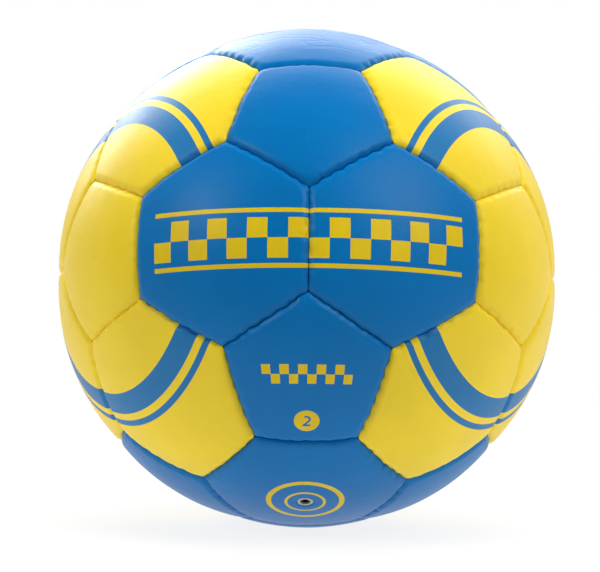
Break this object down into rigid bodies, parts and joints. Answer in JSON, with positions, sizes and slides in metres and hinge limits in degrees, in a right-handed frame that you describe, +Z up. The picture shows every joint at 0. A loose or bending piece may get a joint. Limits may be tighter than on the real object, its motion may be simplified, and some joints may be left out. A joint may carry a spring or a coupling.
{
  "type": "handball",
  "caption": "Hand-stitched leather handball: puffy blue and yellow panels with lips, linings and seam threads, round a rubber bladder with a needle valve.",
  "frame": {"origin": "the ball's centre", "axes": "+Z up as the ball lies in the picture, -Y towards the camera, +X to the right; the valve points down and to the front"},
  "size_m": [0.1736, 0.1732, 0.1748],
  "materials": {
    "blue_leather": "satin",
    "yellow_leather": "satin",
    "lining_cloth": "matte",
    "thread": "matte",
    "bladder_rubber": "matte",
    "patch_cloth": "matte",
    "valve_rubber": "satin",
    "plug_rubber": "satin"
  },
  "bodies": {
    "root": {"pentagon_front_upper": "blue_leather", "pentagon_front_lower": "blue_leather", "pentagon_back_upper": "blue_leather", "pentagon_back_lower": "blue_leather", "pentagon_top_left": "blue_leather", "pentagon_top_right": "blue_leather", "pentagon_bottom_left": "blue_leather", "pentagon_bottom_right": "blue_leather", "pentagon_left_front": "yellow_leather", "pentagon_left_back": "yellow_leather", "pentagon_right_front": "yellow_leather", "pentagon_right_back": "yellow_leather", "hexagon_front_left": "blue_leather", "hexagon_front_right": "blue_leather", "hexagon_back_left": "blue_leather", "hexagon_back_right": "blue_leather", "hexagon_top_front": "blue_leather", "hexagon_top_back": "blue_leather", "hexagon_bottom_front": "blue_leather", "hexagon_bottom_back": "blue_leather", "hexagon_left_upper": "yellow_leather", "hexagon_left_lower": "yellow_leather", "hexagon_right_upper": "yellow_leather", "hexagon_right_lower": "yellow_leather", "hexagon_left_front_upper": "yellow_leather", "hexagon_left_front_lower": "yellow_leather", "hexagon_left_back_upper": "yellow_leather", "hexagon_left_back_lower": "yellow_leather", "hexagon_right_front_upper": "yellow_leather", "hexagon_right_front_lower": "yellow_leather", "hexagon_right_back_upper": "yellow_leather", "hexagon_right_back_lower": "yellow_leather", "lining_left": "lining_cloth", "lining_right": "lining_cloth", "lining_front": "lining_cloth", "lining_back": "lining_cloth", "lining_top": "lining_cloth", "lining_bottom": "lining_cloth", "thread_round_pentagon_front_upper": "thread", "thread_round_pentagon_front_lower": "thread", "thread_round_pentagon_back_upper": "thread", "thread_round_pentagon_back_lower": "thread", "thread_round_pentagon_top_left": "thread", "thread_round_pentagon_top_right": "thread", "thread_round_pentagon_bottom_left": "thread", "thread_round_pentagon_bottom_right": "thread", "thread_round_pentagon_left_front": "thread", "thread_round_pentagon_left_back": "thread", "thread_round_pentagon_right_front": "thread", "thread_round_pentagon_right_back": "thread", "thread_across_left": "thread", "thread_across_right": "thread", "thread_across_front": "thread", "thread_across_back": "thread", "thread_across_top": "thread", "thread_across_bottom": "thread", "bladder": "bladder_rubber", "valve_patch": "patch_cloth", "valve_body": "valve_rubber", "valve_plug": "plug_rubber"}
  },
  "joints": []
}
